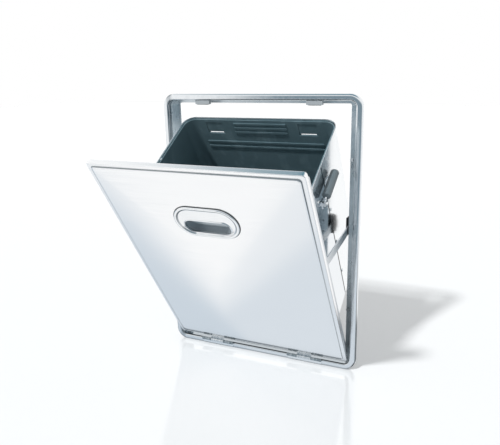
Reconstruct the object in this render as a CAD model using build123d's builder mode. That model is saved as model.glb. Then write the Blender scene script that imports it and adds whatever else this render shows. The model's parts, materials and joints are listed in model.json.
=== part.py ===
from build123d import *
import math
import os

# Tilt-out waste bin for a wall opening: a trim frame, a door hinged at its foot, and a bin that the
# door carries. It is modelled with the door open on its stays. Millimetres, +Z up, front towards -Y.
# The origin is the bottom middle of the trim's back face, which lies on the wall.

# Frame
frame_width = 508.0
frame_height = 673.0
frame_corner = 30.0
frame_sheet = 1.2
flange_width = 15.0
flange_proud = 14.0
flange_hem = 8.0
flange_outer_round = 6.0
flange_inner_round = 4.0
jamb_depth = 32.0
lip_side = 17.0
lip_top = 8.0
lip_bottom = 8.0
lip_corner = 4.0
fixing_hole = 5.0
fixing_hole_depth = 9.0
fixing_hole_inset = 120.0

# Door
door_tilt = 32.0
door_gap_side = 4.0
door_gap_bottom = 8.0
door_gap_top = 12.0
door_corner = 7.0
door_edge_round = 2.0
face_border = 9.0
face_step = 2.0
face_bevel = 1.5
skin_sheet = 1.0
skin_depth = 14.0
skin_hem = 7.0
skin_hem_top = 26.0
skin_hem_corner = 3.0
pan_depth = 14.0
pan_inset = 3.0
pan_top_inset = 22.0
pan_corner = 5.0
pan_edge_round = 2.5

# Door hinges
hinge_inset = 130.0
hinge_length = 90.0
hinge_middle = 38.0
hinge_side_gap = 0.5
hinge_barrel = 8.0
hinge_pin = 4.0
hinge_pin_head = 1.2
hinge_pin_head_lap = 1.2
hinge_leaf = 1.2
hinge_leaf_foot = 4.0
hinge_leaf_below = 1.0
hinge_stand = 0.5
hinge_rise = 1.0
running_fit = 0.05
fastener_fit = 0.1

# Flush pull in the door
pull_length = 148.0
pull_height = 84.0
pull_drop = 143.0
pull_proud = 3.5
pull_edge_round = 2.0
pull_ring = 9.0
pull_plate = 1.2
pull_slot_length = 109.0
pull_slot_height = 36.0
pull_slot_drop = 13.0
pull_slot_lip = 1.6
cup_depth = 23.0
cup_wall = 1.2
cup_round = 8.0
cup_hole_gap = 0.5

# Door catches under the top of the frame
catch_inset = 111.0
catch_width = 38.0
catch_depth = 10.0
catch_height = 10.0
catch_roof = 1.0
magnet_width = 30.0
magnet_depth = 5.0
magnet_gap = 0.3
magnet_air_gap = 0.8
strike_width = 34.0
strike_depth = 6.0
strike_thick = 3.0
strike_corner = 1.5

# Rubber bumpers on the stop lip
bumper_size = 7.0
bumper_door_gap = 0.5
bumper_inset = 150.0
bumper_round = 1.0

# Stay arms, which slide through guides on the frame
stay_height = 20.0
stay_thick = 3.0
stay_lip_gap = 2.5
stay_pivot_height = 333.0
stay_pivot_depth = 13.0
stay_pin = 5.0
stay_pin_head = 11.0
stay_pin_head_thick = 1.2
stay_side_gap = 0.4
stay_stop_gap = 0.8
stay_stop = 12.0
stay_stop_thick = 4.0
stay_stop_pin = 4.0
bracket_sheet = 1.5
bracket_height = 30.0
bracket_foot = 18.0
bracket_reach = 7.0
bracket_spacer = 2.0
bracket_spacer_wide = 9.0
guide_behind_lip = 18.8
guide_depth = 14.0
guide_drop = 2.5
guide_raise = 6.0
guide_slack = 2.0
guide_side_slack = 1.0
guide_wall = 5.0
guide_height = 46.0
guide_web = 5.0
guide_web_gap = 2.0
guide_foot = 14.0
guide_foot_thick = 3.0
guide_taper = 5.0
guide_screw = 4.0
guide_screw_head = 7.5
guide_screw_head_thick = 2.0
guide_screw_spread = 28.0

# Bin
bin_side_room = 25.5
bin_depth = 288.0
bin_below_door_top = 131.0
bin_corner = 30.0
bin_sheet = 1.0
bin_behind_pan = 14.0
bin_above_door_foot = 46.0
bin_seam_gap = 5.0
bin_seam_depth = 132.0
bin_base_upstand = 12.0
bin_rim_height = 4.0
bin_rim_lap = 0.5
bin_rim_round = 0.9
bin_slot_width = 39.0
bin_slot_height = 5.0
bin_slot_inset = 75.5
bin_slot_drop = 44.0
seam_strip_width = 24.0
seam_strip_sheet = 0.8
seam_strip_drop = 60.0
seam_rib_recess = 0.2
seam_rivet = 4.0
seam_rivet_head = 8.0
seam_rivet_head_thick = 2.4
seam_rivet_behind = 8.0
seam_rivet_top_drop = 139.0
seam_rivet_pitch = 110.0
seam_rivet_count = 3

# Plastic liner inside the bin
liner_gap = 1.5
liner_wall = 2.5
liner_floor = 3.0
liner_floor_gap = 0.5
liner_floor_round = 14.0
liner_below_rim = 5.0
liner_rib_proud = 2.0
liner_rib_height = 5.0
liner_rib_gap = 29.0
liner_rib_pitch = 12.5
liner_rib_count = 3
liner_rib_drop = 16.0
liner_band_inset = 41.5
liner_band_drop = 72.0
liner_band_pitch = 15.0
liner_band_count = 2
liner_recess_depth = 1.2
liner_recess_height = 34.0
liner_recess_width = 46.0

# Tray that carries the bin on the door
tray_sheet = 1.5
tray_gap = 0.3
tray_side_inset = 8.0
tray_flange = 28.0
tray_back_gap = 2.0
tray_back_lip = 30.0
gusset_sheet = 2.0
gusset_inset = 78.5
gusset_end_gap = 14.0
gusset_tip = 6.0
tray_rivet = 4.0
tray_rivet_head = 8.0
tray_rivet_head_thick = 1.4
tray_rivet_count = 4
tray_rivet_inset = 23.5

# Bail handles on the sides of the bin
bail_wire = 4.0
bail_drop = 83.0
bail_rise = 26.5
bail_stand = 6.5
bail_lean = 6.0
bail_span = 91.0
bail_stub = 14.0
bail_bend = 5.0
bail_behind_seam = 5.5
grip_length = 77.0
grip_size = 19.0
grip_round = 2.5
lug_eye = 9.0
lug_length = 7.0
lug_plate_width = 12.0
lug_plate_height = 22.0
lug_plate_sheet = 1.5

# Places worked out from the sizes above
tilt = math.radians(door_tilt)
up_door = Vector(0, -math.sin(tilt), math.cos(tilt))
into_door = Vector(0, math.cos(tilt), math.sin(tilt))
across = Vector(1, 0, 0)
sides = {"left": -1, "right": 1}

opening_width = frame_width - 2 * flange_width
opening_height = frame_height - 2 * flange_width
opening_corner = frame_corner - flange_width
frame_middle = frame_height / 2
opening_top = frame_height - flange_width
lip_front = jamb_depth - flange_proud
lip_back = lip_front + frame_sheet
lip_width = opening_width - 2 * lip_side
lip_height = opening_height - lip_top - lip_bottom
lip_middle = flange_width + lip_bottom + lip_height / 2

barrel_radius = hinge_barrel / 2
hinge_axis_z = flange_width + hinge_rise
hinge_axis_y = -flange_proud - hinge_stand - barrel_radius
hinge_to_door_foot = door_gap_bottom - hinge_rise
hinge_to_door_face = hinge_stand + barrel_radius
hinge_axis = Vector(0, hinge_axis_y, hinge_axis_z)
door_foot = hinge_axis + hinge_to_door_foot * up_door + hinge_to_door_face * into_door

door_width = frame_width - 2 * (flange_width + door_gap_side)
door_height = opening_height - door_gap_bottom - door_gap_top
door_middle = door_height / 2
pan_back = skin_depth + pan_depth
face_width = door_width - 2 * face_border
face_height = door_height - 2 * face_border
hem_opening_height = door_height - skin_hem - skin_hem_top
hem_opening_middle = skin_hem + hem_opening_height / 2
pan_width = door_width - 2 * pan_inset
pan_height = door_height - pan_inset - pan_top_inset
pan_middle = pan_inset + pan_height / 2
pull_middle = door_height - pull_drop

bin_width = lip_width - 2 * bin_side_room
bin_height = door_height - bin_above_door_foot - bin_below_door_top
bin_front = pan_back + bin_behind_pan
bin_back = bin_front + bin_depth
bin_middle = bin_front + bin_depth / 2
bin_foot = bin_above_door_foot
bin_top = bin_foot + bin_height
bin_side = bin_width / 2
bin_seam = bin_front + bin_seam_depth
shell_top = bin_top - bin_rim_height
bin_slot_middle = bin_top - bin_slot_drop
bin_slot_x = bin_side - bin_slot_inset
bin_slot_places = [(-bin_slot_x, bin_slot_middle), (bin_slot_x, bin_slot_middle)]

stay_x = lip_width / 2 - stay_lip_gap - stay_thick / 2
stay_depth = pan_back + stay_pivot_depth
stay_pivot = door_foot + stay_pivot_height * up_door + stay_depth * into_door
guide_front_y = lip_back + guide_behind_lip
guide_back_y = guide_front_y + guide_depth
guide_middle_y = guide_front_y + guide_depth / 2
guide_middle_z = hinge_axis_z + hinge_to_door_foot + stay_pivot_height - guide_drop
stay_rise = guide_middle_z - stay_pivot.Z
stay_run = guide_middle_y - stay_pivot.Y
stay_angle = math.atan2(stay_rise, stay_run)
along_stay = Vector(0, math.cos(stay_angle), math.sin(stay_angle))
stop_corner_back = stay_height / 2 * math.tan(stay_angle)
stay_to_stop = (guide_back_y + stay_stop_gap - stay_pivot.Y) / math.cos(stay_angle) + stop_corner_back
stay_length = stay_to_stop + stay_stop
stay_hole = stay_pin / 2 + running_fit
window_width = stay_thick + 2 * guide_side_slack
window_height = stay_height + 2 * guide_slack
web_x = lip_width / 2 + guide_web_gap
screw_x = web_x + (guide_web + guide_foot) / 2
guide_block_z = guide_middle_z + guide_raise
screw_heights = [guide_block_z - guide_screw_spread / 2, guide_block_z + guide_screw_spread / 2]
screw_hole = guide_screw / 2 + fastener_fit

tray_top = bin_foot - tray_gap
tray_under = tray_top - tray_sheet
tray_width = bin_width - 2 * tray_side_inset
tray_back = bin_back + bin_rim_lap + tray_back_gap
tray_rivet_height = tray_under - tray_flange / 2
tray_rivet_pitch = (tray_width - 2 * tray_rivet_inset) / (tray_rivet_count - 1)
tray_rivet_first = tray_rivet_inset - tray_width / 2
tray_rivet_places = [(tray_rivet_first + step * tray_rivet_pitch, tray_rivet_height)
                     for step in range(tray_rivet_count)]
tray_rivet_hole = tray_rivet / 2 + fastener_fit

os.makedirs("parts", exist_ok=True)


def finish(piece, name):
    """Label a finished piece and write it to its own file."""
    piece.part.label = name
    export_step(piece.part, f"parts/{name}.step")


def door_point(x, height, depth):
    """Point at x, a height up the door from its foot and a depth behind its face."""
    return door_foot + Vector(x, 0, 0) + height * up_door + depth * into_door


def door_plane(depth):
    """Plane along the door's face, a depth behind it: x across, y up the door, facing the front."""
    return Plane(origin=door_point(0, 0, depth), x_dir=across, z_dir=-into_door)


def level_plane(height):
    """Plane square to the door at a height up it: x across, y behind the face, facing up the door."""
    return Plane(origin=door_point(0, height, 0), x_dir=across, z_dir=up_door)


def side_plane(x):
    """Plane across the door's thickness: x behind the face, y up the door, facing +X."""
    return Plane(origin=door_point(x, 0, 0), x_dir=into_door, z_dir=across)


# Trim around the opening: a channel with rounded front edges and a hem that lies on the wall
with BuildPart() as trim_hollow:
    with BuildSketch(Plane.XZ.offset(frame_sheet)):
        with Locations((0, frame_middle)):
            RectangleRounded(frame_width - 2 * frame_sheet, frame_height - 2 * frame_sheet,
                             frame_corner - frame_sheet)
            RectangleRounded(opening_width + 2 * frame_sheet, opening_height + 2 * frame_sheet,
                             opening_corner + frame_sheet, mode=Mode.SUBTRACT)
    extrude(amount=flange_proud - 2 * frame_sheet)
    hollow_front = trim_hollow.faces().sort_by(Axis.Y)[0]
    fillet(hollow_front.outer_wire().edges(), radius=flange_outer_round - frame_sheet)
    hollow_front = trim_hollow.faces().sort_by(Axis.Y)[0]
    fillet(hollow_front.inner_wires()[0].edges(), radius=flange_inner_round - frame_sheet)

with BuildPart() as face_trim:
    with BuildSketch(Plane.XZ):
        with Locations((0, frame_middle)):
            RectangleRounded(frame_width, frame_height, frame_corner)
            RectangleRounded(opening_width, opening_height, opening_corner, mode=Mode.SUBTRACT)
    extrude(amount=flange_proud)
    trim_front = face_trim.faces().sort_by(Axis.Y)[0]
    fillet(trim_front.outer_wire().edges(), radius=flange_outer_round)
    trim_front = face_trim.faces().sort_by(Axis.Y)[0]
    fillet(trim_front.inner_wires()[0].edges(), radius=flange_inner_round)
    add(trim_hollow.part, mode=Mode.SUBTRACT)
    with BuildSketch(Plane.XZ):
        with Locations((0, frame_middle)):
            RectangleRounded(frame_width - 2 * flange_hem, frame_height - 2 * flange_hem,
                             frame_corner - flange_hem)
            RectangleRounded(opening_width + 2 * frame_sheet, opening_height + 2 * frame_sheet,
                             opening_corner + frame_sheet, mode=Mode.SUBTRACT)
    extrude(amount=frame_sheet, mode=Mode.SUBTRACT)
finish(face_trim, "face_trim")

# Jamb sleeve that goes into the wall
with BuildPart() as jamb_sleeve:
    with BuildSketch(Plane.XZ):
        with Locations((0, frame_middle)):
            RectangleRounded(opening_width + 2 * frame_sheet, opening_height + 2 * frame_sheet,
                             opening_corner + frame_sheet)
            RectangleRounded(opening_width, opening_height, opening_corner, mode=Mode.SUBTRACT)
    extrude(amount=-lip_front)
    with BuildSketch(Plane.YZ):
        with Locations((fixing_hole_depth, fixing_hole_inset),
                       (fixing_hole_depth, frame_height - fixing_hole_inset)):
            Circle(fixing_hole / 2)
    extrude(amount=frame_width / 2, both=True, mode=Mode.SUBTRACT)
finish(jamb_sleeve, "jamb_sleeve")

# Stop lip, a flat ring welded on the back of the sleeve, that the door closes against
with BuildPart() as stop_lip:
    with BuildSketch(Plane.XZ.offset(-lip_front)):
        with Locations((0, frame_middle)):
            RectangleRounded(opening_width + 2 * frame_sheet, opening_height + 2 * frame_sheet,
                             opening_corner + frame_sheet)
        with Locations((0, lip_middle)):
            RectangleRounded(lip_width, lip_height, lip_corner, mode=Mode.SUBTRACT)
        for height in screw_heights:
            with Locations((-screw_x, height), (screw_x, height)):
                Circle(screw_hole, mode=Mode.SUBTRACT)
    extrude(amount=-frame_sheet)
finish(stop_lip, "stop_lip")

# Hinges: a leaf with two end knuckles on the bottom rail, a pin, and the door's own leaf between them
end_knuckle = (hinge_length - hinge_middle) / 2
end_knuckle_place = (hinge_length - end_knuckle) / 2
door_knuckle = hinge_middle - 2 * hinge_side_gap
bore_radius = hinge_pin / 2 + running_fit
leaf_top = hinge_axis_z - barrel_radius - hinge_leaf_below
for side, sign in sides.items():
    hinge_x = sign * (frame_width / 2 - hinge_inset)
    with BuildPart() as frame_leaf:
        with BuildSketch(Plane.XZ.offset(flange_proud)):
            with Locations((hinge_x, (hinge_leaf_foot + leaf_top) / 2)):
                Rectangle(hinge_length, leaf_top - hinge_leaf_foot)
            with Locations((hinge_x - end_knuckle_place, (leaf_top + hinge_axis_z) / 2),
                           (hinge_x + end_knuckle_place, (leaf_top + hinge_axis_z) / 2)):
                Rectangle(end_knuckle, hinge_axis_z - leaf_top)
        extrude(amount=hinge_leaf)
        with Locations((hinge_x - end_knuckle_place, hinge_axis_y, hinge_axis_z),
                       (hinge_x + end_knuckle_place, hinge_axis_y, hinge_axis_z)):
            Cylinder(barrel_radius, end_knuckle, rotation=(0, 90, 0))
        with Locations((hinge_x, hinge_axis_y, hinge_axis_z)):
            Cylinder(bore_radius, hinge_length, rotation=(0, 90, 0), mode=Mode.SUBTRACT)
    finish(frame_leaf, f"hinge_frame_leaf_{side}")

    with BuildPart() as pin:
        with Locations((hinge_x, hinge_axis_y, hinge_axis_z)):
            Cylinder(hinge_pin / 2, hinge_length, rotation=(0, 90, 0))
        with Locations((hinge_x - (hinge_length + hinge_pin_head) / 2, hinge_axis_y, hinge_axis_z),
                       (hinge_x + (hinge_length + hinge_pin_head) / 2, hinge_axis_y, hinge_axis_z)):
            Cylinder(hinge_pin / 2 + hinge_pin_head_lap, hinge_pin_head, rotation=(0, 90, 0))
    finish(pin, f"hinge_pin_{side}")

    with BuildPart() as door_leaf:
        with BuildSketch(side_plane(hinge_x - door_knuckle / 2)):
            with Locations((-hinge_to_door_face, -hinge_to_door_foot)):
                Circle(barrel_radius)
            with Locations((-hinge_stand - hinge_leaf / 2, -hinge_to_door_foot / 2)):
                Rectangle(hinge_leaf, hinge_to_door_foot)
            with Locations(((skin_depth - skin_sheet - hinge_stand - hinge_leaf) / 2, -hinge_leaf / 2)):
                Rectangle(skin_depth - skin_sheet + hinge_stand + hinge_leaf, hinge_leaf)
            with Locations((-hinge_to_door_face, -hinge_to_door_foot)):
                Circle(bore_radius, mode=Mode.SUBTRACT)
        extrude(amount=door_knuckle)
    finish(door_leaf, f"hinge_door_leaf_{side}")

# Front skin of the door: a folded tray with a raised face inside a flat border, a hem and a hole for the pull
cup_length = pull_length - 2 * pull_ring
cup_height = pull_height - 2 * pull_ring
with BuildPart() as door_skin:
    with BuildSketch(door_plane(face_step)):
        with Locations((0, door_middle)):
            RectangleRounded(door_width, door_height, door_corner)
    extrude(amount=face_step - skin_depth)
    skin_border = door_skin.faces().sort_by(Axis(door_foot, into_door))[0]
    fillet(skin_border.edges(), radius=door_edge_round)
    with BuildSketch(door_plane(face_step)):
        with Locations((0, door_middle)):
            RectangleRounded(face_width, face_height, door_corner)
    extrude(amount=face_step)
    skin_face = door_skin.faces().sort_by(Axis(door_foot, into_door))[0]
    chamfer(skin_face.edges(), length=face_bevel)
    with BuildSketch(door_plane(face_step + skin_sheet)):
        with Locations((0, door_middle)):
            RectangleRounded(door_width - 2 * skin_sheet, door_height - 2 * skin_sheet,
                             door_corner - skin_sheet)
    extrude(amount=face_step + 2 * skin_sheet - skin_depth, mode=Mode.SUBTRACT)
    with BuildSketch(door_plane(skin_sheet)):
        with Locations((0, door_middle)):
            RectangleRounded(face_width - 2 * face_bevel, face_height - 2 * face_bevel,
                             door_corner - face_bevel)
    extrude(amount=-face_step, mode=Mode.SUBTRACT)
    with BuildSketch(door_plane(skin_depth - skin_sheet)):
        with Locations((0, hem_opening_middle)):
            RectangleRounded(door_width - 2 * skin_hem, hem_opening_height, skin_hem_corner)
    extrude(amount=-skin_sheet, mode=Mode.SUBTRACT)
    with BuildSketch(door_plane(0)):
        with Locations((0, pull_middle)):
            SlotOverall(cup_length + 2 * cup_hole_gap, cup_height + 2 * cup_hole_gap)
    extrude(amount=-skin_sheet, mode=Mode.SUBTRACT)
finish(door_skin, "door_skin")

# Inner pan that closes the back of the door
with BuildPart() as door_pan:
    with BuildSketch(door_plane(skin_depth)):
        with Locations((0, pan_middle)):
            RectangleRounded(pan_width, pan_height, pan_corner)
    extrude(amount=-pan_depth)
    pan_face = door_pan.faces().sort_by(Axis(door_foot, into_door))[-1]
    fillet(pan_face.edges(), radius=pan_edge_round)
    with BuildSketch(door_plane(skin_depth)):
        with Locations((0, pan_middle)):
            RectangleRounded(pan_width - 2 * skin_sheet, pan_height - 2 * skin_sheet,
                             pan_corner - skin_sheet)
    extrude(amount=-(pan_depth - skin_sheet), mode=Mode.SUBTRACT)
    with BuildSketch(door_plane(pan_back)):
        with Locations(tray_rivet_places):
            Circle(tray_rivet_hole)
    extrude(amount=skin_sheet, mode=Mode.SUBTRACT)
finish(door_pan, "door_inner_pan")

# Flush pull: a dished plate with a raised ring and a finger slot, and the cup behind it
slot_middle = pull_middle - pull_slot_drop
with BuildPart() as pull_bezel:
    with BuildSketch(door_plane(0)):
        with Locations((0, pull_middle)):
            SlotOverall(pull_length, pull_height)
    extrude(amount=pull_proud)
    bezel_face = pull_bezel.faces().sort_by(Axis(door_foot, into_door))[0]
    fillet(bezel_face.edges(), radius=pull_edge_round)
    with BuildSketch(door_plane(-pull_plate)):
        with Locations((0, pull_middle)):
            SlotOverall(cup_length, cup_height)
    extrude(amount=pull_proud - pull_plate, mode=Mode.SUBTRACT)
    with BuildSketch(door_plane(0)):
        with Locations((0, slot_middle)):
            SlotOverall(pull_slot_length + 2 * pull_slot_lip, pull_slot_height + 2 * pull_slot_lip)
    extrude(amount=pull_plate + pull_slot_lip)
    with BuildSketch(door_plane(0)):
        with Locations((0, slot_middle)):
            SlotOverall(pull_slot_length, pull_slot_height)
    extrude(amount=pull_proud, mode=Mode.SUBTRACT)
finish(pull_bezel, "pull_bezel")

with BuildPart() as pull_cup:
    with BuildSketch(door_plane(0)):
        with Locations((0, pull_middle)):
            SlotOverall(cup_length, cup_height)
    extrude(amount=-cup_depth)
    cup_back = pull_cup.faces().sort_by(Axis(door_foot, into_door))[-1]
    fillet(cup_back.edges(), radius=cup_round)
    cup_inside = pull_cup.faces().sort_by(Axis(door_foot, into_door))[0]
    offset(amount=-cup_wall, openings=cup_inside)
finish(pull_cup, "pull_cup")

# Magnet catches under the top of the frame, and the strikes that they hold, hidden in the top of the door
strike_middle = (face_step + skin_depth) / 2
strike_foot = door_height - skin_sheet - strike_thick
door_top_closed = hinge_axis_z + hinge_to_door_foot + door_height
catch_foot = opening_top - catch_height
catch_middle_y = hinge_axis_y + hinge_to_door_face + strike_middle
magnet_foot = door_top_closed + magnet_air_gap
for side, sign in sides.items():
    catch_x = sign * (frame_width / 2 - catch_inset)
    with BuildPart() as catch_housing:
        with BuildSketch(Plane.XY.offset(catch_foot)):
            with Locations((catch_x, catch_middle_y)):
                Rectangle(catch_width, catch_depth)
        extrude(amount=catch_height)
        with BuildSketch(Plane.XY.offset(catch_foot)):
            with Locations((catch_x, catch_middle_y)):
                Rectangle(magnet_width + 2 * magnet_gap, magnet_depth + 2 * magnet_gap)
        extrude(amount=catch_height - catch_roof, mode=Mode.SUBTRACT)
    finish(catch_housing, f"catch_housing_{side}")

    with BuildPart() as catch_magnet:
        with BuildSketch(Plane.XY.offset(magnet_foot)):
            with Locations((catch_x, catch_middle_y)):
                Rectangle(magnet_width, magnet_depth)
        extrude(amount=opening_top - catch_roof - magnet_foot)
    finish(catch_magnet, f"catch_magnet_{side}")

    with BuildPart() as catch_strike:
        with BuildSketch(level_plane(strike_foot)):
            with Locations((catch_x, strike_middle)):
                RectangleRounded(strike_width, strike_depth, strike_corner)
        extrude(amount=strike_thick)
    finish(catch_strike, f"catch_strike_{side}")

# Rubber bumpers stuck on the front of the stop lip
bumper_x = opening_width / 2 - lip_side + bumper_size / 2
pan_back_closed_y = hinge_axis_y + hinge_to_door_face + pan_back
bumper_height = lip_front - pan_back_closed_y - bumper_door_gap
with BuildPart() as bumpers:
    with BuildSketch(Plane.XZ.offset(-lip_front)):
        with Locations((-bumper_x, bumper_inset), (bumper_x, bumper_inset),
                       (-bumper_x, frame_height - bumper_inset), (bumper_x, frame_height - bumper_inset)):
            RectangleRounded(bumper_size, bumper_size, bumper_round)
    extrude(amount=bumper_height)
finish(bumpers, "lip_bumpers")

# Stay arms: each turns on a bracket behind the door and slides through a guide behind the lip
for side, sign in sides.items():
    arm_plane = Plane(origin=stay_pivot + across * (sign * stay_x - stay_thick / 2),
                      x_dir=along_stay, z_dir=across)
    with BuildPart() as stay_arm:
        with BuildSketch(arm_plane):
            with Locations((stay_length / 2, 0)):
                Rectangle(stay_length, stay_height)
            Circle(stay_height / 2)
            Circle(stay_hole, mode=Mode.SUBTRACT)
            with Locations((stay_to_stop + stay_stop / 2, 0)):
                Circle(stay_stop_pin / 2, mode=Mode.SUBTRACT)
        extrude(amount=stay_thick)
    finish(stay_arm, f"stay_arm_{side}")

    with BuildPart() as stay_stop_block:
        with BuildSketch(arm_plane):
            with Locations((stay_to_stop + stay_stop / 2, 0)):
                Circle(stay_stop_pin / 2)
        extrude(amount=stay_thick)
        with BuildSketch(arm_plane.offset(stay_thick), arm_plane.offset(-stay_stop_thick)):
            with Locations((stay_to_stop + stay_stop / 2, 0)):
                Rectangle(stay_stop, stay_height)
        extrude(amount=stay_stop_thick)
    finish(stay_stop_block, f"stay_stop_{side}")

    bracket_x = sign * (stay_x - stay_thick / 2 - bracket_spacer - bracket_sheet / 2)
    foot_x = sign * (abs(bracket_x) + bracket_sheet / 2 - bracket_foot / 2)
    with BuildPart() as stay_bracket:
        with BuildSketch(door_plane(pan_back)):
            with Locations((foot_x, stay_pivot_height)):
                Rectangle(bracket_foot, bracket_height)
        extrude(amount=-bracket_sheet)
        with BuildSketch(side_plane(bracket_x - bracket_sheet / 2)):
            with Locations((pan_back + (stay_pivot_depth + bracket_reach) / 2, stay_pivot_height)):
                Rectangle(stay_pivot_depth + bracket_reach, 2 * bracket_reach)
            with Locations((stay_depth, stay_pivot_height)):
                Circle(stay_pin / 2, mode=Mode.SUBTRACT)
        extrude(amount=bracket_sheet)
    finish(stay_bracket, f"stay_bracket_{side}")

    pin_start = sign * (abs(bracket_x) - bracket_sheet / 2)
    spacer_start = sign * (abs(bracket_x) + bracket_sheet / 2)
    arm_start = sign * (stay_x - stay_thick / 2 - stay_side_gap)
    head_start = sign * (stay_x + stay_thick / 2 + stay_side_gap)
    with BuildPart() as stay_pivot_pin:
        with BuildSketch(side_plane(pin_start)):
            with Locations((stay_depth, stay_pivot_height)):
                Circle(stay_pin / 2)
        extrude(amount=head_start - pin_start)
        with BuildSketch(side_plane(spacer_start)):
            with Locations((stay_depth, stay_pivot_height)):
                Circle(bracket_spacer_wide / 2)
        extrude(amount=arm_start - spacer_start)
        with BuildSketch(side_plane(head_start)):
            with Locations((stay_depth, stay_pivot_height)):
                Circle(stay_pin_head / 2)
        extrude(amount=sign * stay_pin_head_thick)
    finish(stay_pivot_pin, f"stay_pivot_pin_{side}")

    head_inner = stay_x - window_width / 2 - guide_wall
    head_outer = web_x + guide_web
    with BuildPart() as stay_guide:
        with BuildSketch(Plane.XZ.offset(-guide_front_y)):
            with Locations((sign * (head_inner + head_outer) / 2, guide_block_z)):
                Rectangle(head_outer - head_inner, guide_height)
        extrude(amount=-guide_depth)
        inner_edges = stay_guide.edges().filter_by(Axis.Y).group_by(Axis.X)[0 if sign > 0 else -1]
        chamfer(inner_edges, length=guide_taper)
        with BuildSketch(Plane.XZ.offset(-guide_front_y)):
            with Locations((sign * stay_x, guide_middle_z)):
                Rectangle(window_width, window_height)
        extrude(amount=-guide_depth, mode=Mode.SUBTRACT)
        with BuildSketch(Plane.XZ.offset(-lip_back)):
            with Locations((sign * (web_x + guide_web / 2), guide_block_z)):
                Rectangle(guide_web, guide_height)
        extrude(amount=-guide_behind_lip)
        with BuildSketch(Plane.XZ.offset(-lip_back)):
            with Locations((sign * (web_x + guide_foot / 2), guide_block_z)):
                Rectangle(guide_foot, guide_height)
        extrude(amount=-guide_foot_thick)
        with BuildSketch(Plane.XZ.offset(-lip_back)):
            for height in screw_heights:
                with Locations((sign * screw_x, height)):
                    Circle(screw_hole)
        extrude(amount=-guide_foot_thick, mode=Mode.SUBTRACT)
    finish(stay_guide, f"stay_guide_{side}")

# Screws that hold the guides, driven from behind the lip
with BuildPart() as guide_screws:
    with BuildSketch(Plane.XZ.offset(-lip_front)):
        for height in screw_heights:
            with Locations((-screw_x, height), (screw_x, height)):
                Circle(guide_screw / 2)
    extrude(amount=-(frame_sheet + guide_foot_thick))
    with BuildSketch(Plane.XZ.offset(-lip_back - guide_foot_thick)):
        for height in screw_heights:
            with Locations((-screw_x, height), (screw_x, height)):
                Circle(guide_screw_head / 2)
    extrude(amount=-guide_screw_head_thick)
finish(guide_screws, "guide_screws")

# Tray, gussets and rivets that carry the bin behind the door
with BuildPart() as bin_tray:
    with BuildSketch(side_plane(-tray_width / 2)):
        with BuildLine():
            Polyline((pan_back, tray_top), (tray_back, tray_top), (tray_back, tray_top + tray_back_lip),
                     (tray_back + tray_sheet, tray_top + tray_back_lip), (tray_back + tray_sheet, tray_under),
                     (pan_back + tray_sheet, tray_under), (pan_back + tray_sheet, tray_under - tray_flange),
                     (pan_back, tray_under - tray_flange), close=True)
        make_face()
    extrude(amount=tray_width)
    with BuildSketch(door_plane(pan_back)):
        with Locations(tray_rivet_places):
            Circle(tray_rivet_hole)
    extrude(amount=-tray_sheet, mode=Mode.SUBTRACT)
finish(bin_tray, "bin_tray")

gusset_front = pan_back + tray_sheet
gusset_back = tray_back - gusset_end_gap
for side, sign in sides.items():
    gusset_x = sign * (tray_width / 2 - gusset_inset)
    with BuildPart() as gusset:
        with BuildSketch(side_plane(gusset_x - gusset_sheet / 2)):
            with BuildLine():
                Polyline((gusset_front, tray_under), (gusset_back, tray_under),
                         (gusset_back, tray_under - gusset_tip), (gusset_front, tray_under - tray_flange),
                         close=True)
            make_face()
        extrude(amount=gusset_sheet)
    finish(gusset, f"tray_gusset_{side}")

with BuildPart() as tray_rivets:
    with BuildSketch(door_plane(pan_back - skin_sheet)):
        with Locations(tray_rivet_places):
            Circle(tray_rivet / 2)
    extrude(amount=-(skin_sheet + tray_sheet))
    with BuildSketch(door_plane(gusset_front)):
        with Locations(tray_rivet_places):
            Circle(tray_rivet_head / 2)
    extrude(amount=-tray_rivet_head_thick)
finish(tray_rivets, "tray_rivets")

# Places of the rivets along the side seams
seam_rivet_top = bin_top - seam_rivet_top_drop
seam_rivet_depth = bin_seam + seam_rivet_behind
seam_rivet_places = [(seam_rivet_depth, seam_rivet_top - step * seam_rivet_pitch)
                     for step in range(seam_rivet_count)]
seam_rivet_hole = seam_rivet / 2 + fastener_fit

# Bin walls: a front and a back half that meet at the side seams, with slots in the back
with BuildPart() as bin_tube:
    with BuildSketch(level_plane(bin_foot)):
        with Locations((0, bin_middle)):
            RectangleRounded(bin_width, bin_depth, bin_corner)
            RectangleRounded(bin_width - 2 * bin_sheet, bin_depth - 2 * bin_sheet,
                             bin_corner - bin_sheet, mode=Mode.SUBTRACT)
    extrude(amount=shell_top - bin_foot)
    with BuildSketch(door_plane(bin_back)):
        with Locations(bin_slot_places):
            Rectangle(bin_slot_width, bin_slot_height)
    extrude(amount=bin_sheet, mode=Mode.SUBTRACT)
    with BuildSketch(side_plane(0)):
        with Locations(seam_rivet_places):
            Circle(seam_rivet_hole)
    extrude(amount=bin_side, both=True, mode=Mode.SUBTRACT)

with BuildPart() as bin_front_half:
    add(bin_tube.part)
    split(bisect_by=door_plane(bin_seam - bin_seam_gap / 2), keep=Keep.TOP)
finish(bin_front_half, "bin_front_shell")

with BuildPart() as bin_back_half:
    add(bin_tube.part)
    split(bisect_by=door_plane(bin_seam + bin_seam_gap / 2), keep=Keep.BOTTOM)
finish(bin_back_half, "bin_back_shell")

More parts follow.
